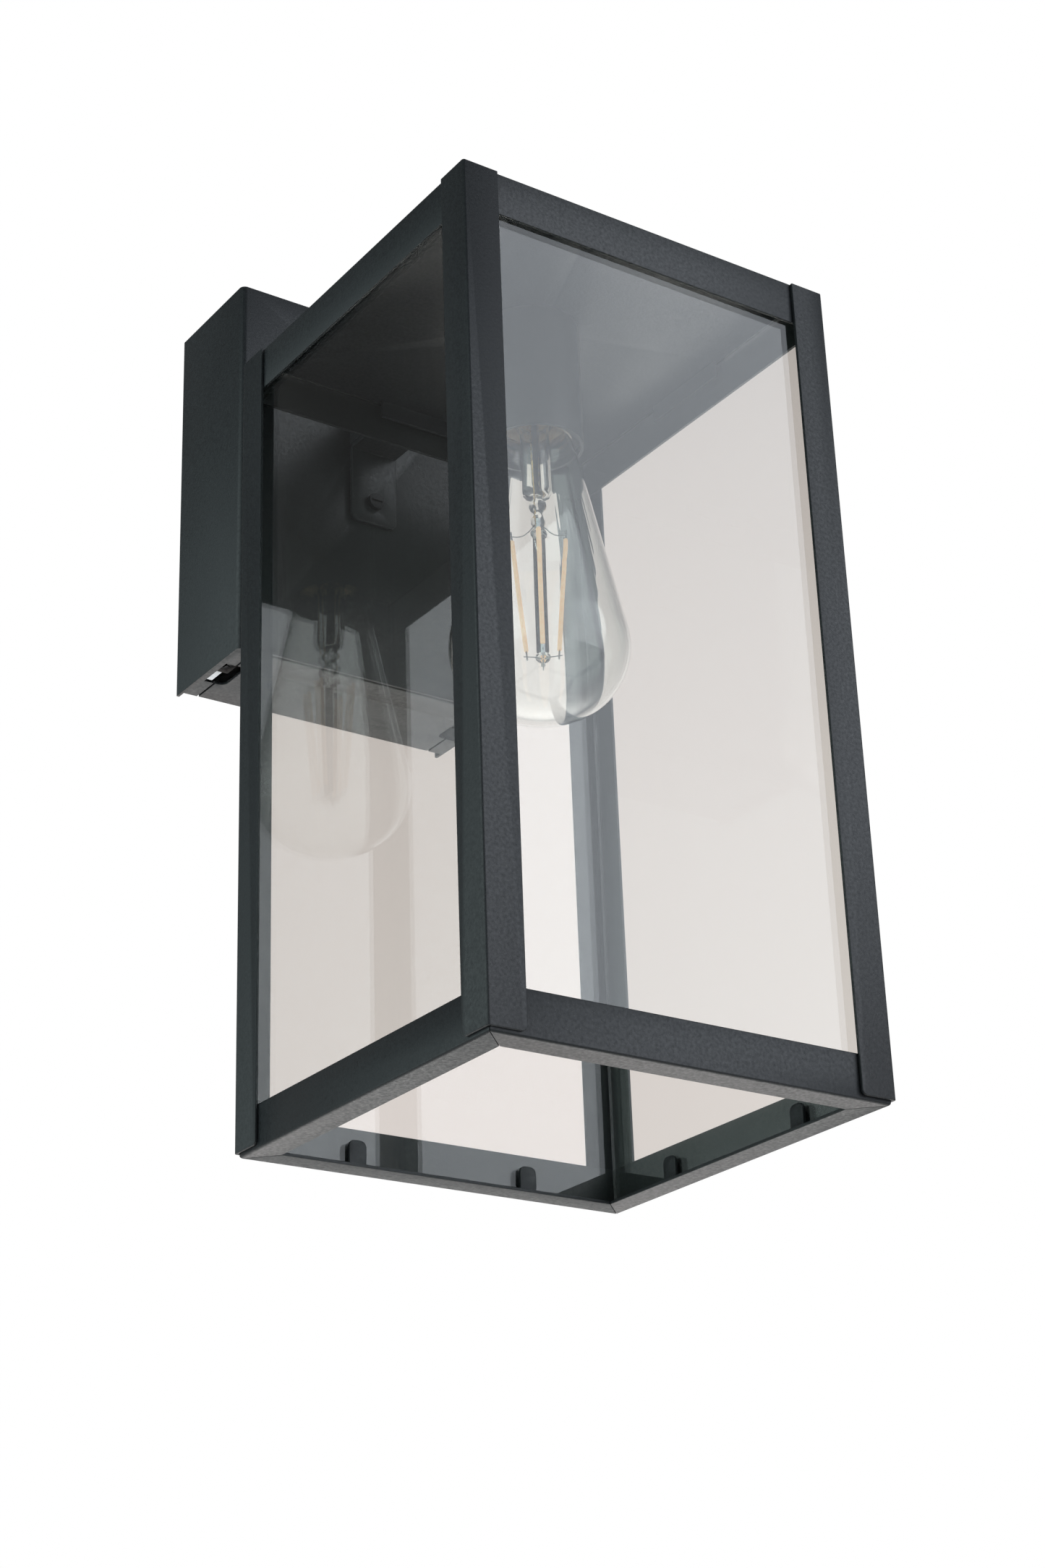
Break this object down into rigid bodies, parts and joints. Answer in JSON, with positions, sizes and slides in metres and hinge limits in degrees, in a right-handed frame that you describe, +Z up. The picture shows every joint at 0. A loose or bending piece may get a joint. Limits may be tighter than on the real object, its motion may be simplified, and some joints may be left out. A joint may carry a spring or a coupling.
{
  "type": "outdoor wall lantern",
  "caption": "Square glazed outdoor wall lantern, open at the bottom, hung from a flat wall box by a bent strip arm, with a clear filament bulb in a sleeve lampholder.",
  "frame": {"origin": "centre of the wall box's outline on the wall plane", "axes": "+Z up, +Y into the wall, the lantern stands out towards -Y, +X to the right seen from the front"},
  "size_m": [0.162, 0.243, 0.382],
  "materials": {
    "powder_coat": "fine textured powder coat, anthracite black, satin",
    "pane": "clear flat glass, polished",
    "bulb_clear": "clear blown glass",
    "zinc_steel": "bright zinc plated steel",
    "black_screw": "black zinc plated steel, satin",
    "brass": "plain turned brass",
    "nickel": "nickel plated brass sheet",
    "holder_plastic": "black moulded thermoset, matt",
    "black_rubber": "black rubber",
    "terminal_plastic": "natural nylon, slightly glossy",
    "lead_brown": "brown wire insulation",
    "lead_blue": "blue wire insulation",
    "lead_green": "green and yellow wire insulation",
    "vitrite": "black fused glass, glossy",
    "phosphor": "amber phosphor coating, matt",
    "cement": "tan basing cement, matt"
  },
  "bodies": {
    "wall_mount": {"wall_bracket": "zinc_steel", "cable_grommet": "black_rubber"},
    "housing": {"box_shell": "powder_coat", "box_floor": "powder_coat", "clamp_lug_left": "powder_coat", "clamp_lug_right": "powder_coat", "clamp_nut_left": "zinc_steel", "clamp_nut_right": "zinc_steel", "arm_strip": "powder_coat", "arm_channel": "powder_coat", "arm_nuts": "zinc_steel", "arm_screw_lower": "black_screw", "arm_screw_upper": "black_screw", "lead_grommet": "black_rubber", "terminal_block": "terminal_plastic", "terminal_screws": "zinc_steel", "earth_stud": "zinc_steel", "earth_ring": "zinc_steel", "earth_nut": "zinc_steel", "lead_live": "lead_brown", "lead_neutral": "lead_blue", "lead_earth": "lead_green", "post_front_left": "powder_coat", "post_front_right": "powder_coat", "post_rear_left": "powder_coat", "post_rear_right": "powder_coat", "top_rail_front": "powder_coat", "top_rail_right": "powder_coat", "top_rail_rear": "powder_coat", "top_rail_left": "powder_coat", "bottom_rail_front": "powder_coat", "bottom_rail_right": "powder_coat", "bottom_rail_rear": "powder_coat", "bottom_rail_left": "powder_coat", "roof_plate": "powder_coat", "glass_front": "pane", "glass_right": "pane", "glass_rear": "pane", "glass_left": "pane", "holder_nipple": "zinc_steel", "nipple_nut_upper": "zinc_steel", "nipple_nut_lower": "zinc_steel", "holder_sleeve": "powder_coat", "holder_body": "holder_plastic", "holder_contact": "brass", "holder_shell": "nickel"},
    "clamp_screw_left_body": {"clamp_screw_left": "black_screw"},
    "clamp_screw_right_body": {"clamp_screw_right": "black_screw"},
    "bulb_foot": {"bulb_contact": "nickel"},
    "bulb": {"bulb_cap": "nickel", "cap_cement": "cement", "bulb_insulator": "vitrite", "bulb_glass": "bulb_clear", "bulb_stem": "bulb_clear", "bulb_filaments": "phosphor", "bulb_wires": "zinc_steel"}
  },
  "joints": [
    {"name": "housing_lift_off", "type": "slide", "parent": "wall_mount", "child": "housing", "axis": [0, -1, 0], "range_m": [0, 0.08]},
    {"name": "clamp_screw_left_turn", "type": "hinge", "parent": "housing", "child": "clamp_screw_left_body", "pos_m": [-0.0551, -0.027, -0.076], "axis": [0, 0, 1], "continuous": true},
    {"name": "clamp_screw_right_turn", "type": "hinge", "parent": "housing", "child": "clamp_screw_right_body", "pos_m": [0.0551, -0.027, -0.076], "axis": [0, 0, 1], "continuous": true},
    {"name": "bulb_travel", "type": "slide", "parent": "housing", "child": "bulb_foot", "axis": [0, 0, -1], "range_m": [0, 0.0181]},
    {"name": "bulb_turn", "type": "hinge", "parent": "bulb_foot", "child": "bulb", "pos_m": [0, -0.1645, 0], "axis": [0, 0, -1], "range_deg": [0, 1800]}
  ],
  "couplings": [
    {"joint": "bulb_turn", "follows": "bulb_travel", "rad_per_m": 1731.4}
  ]
}
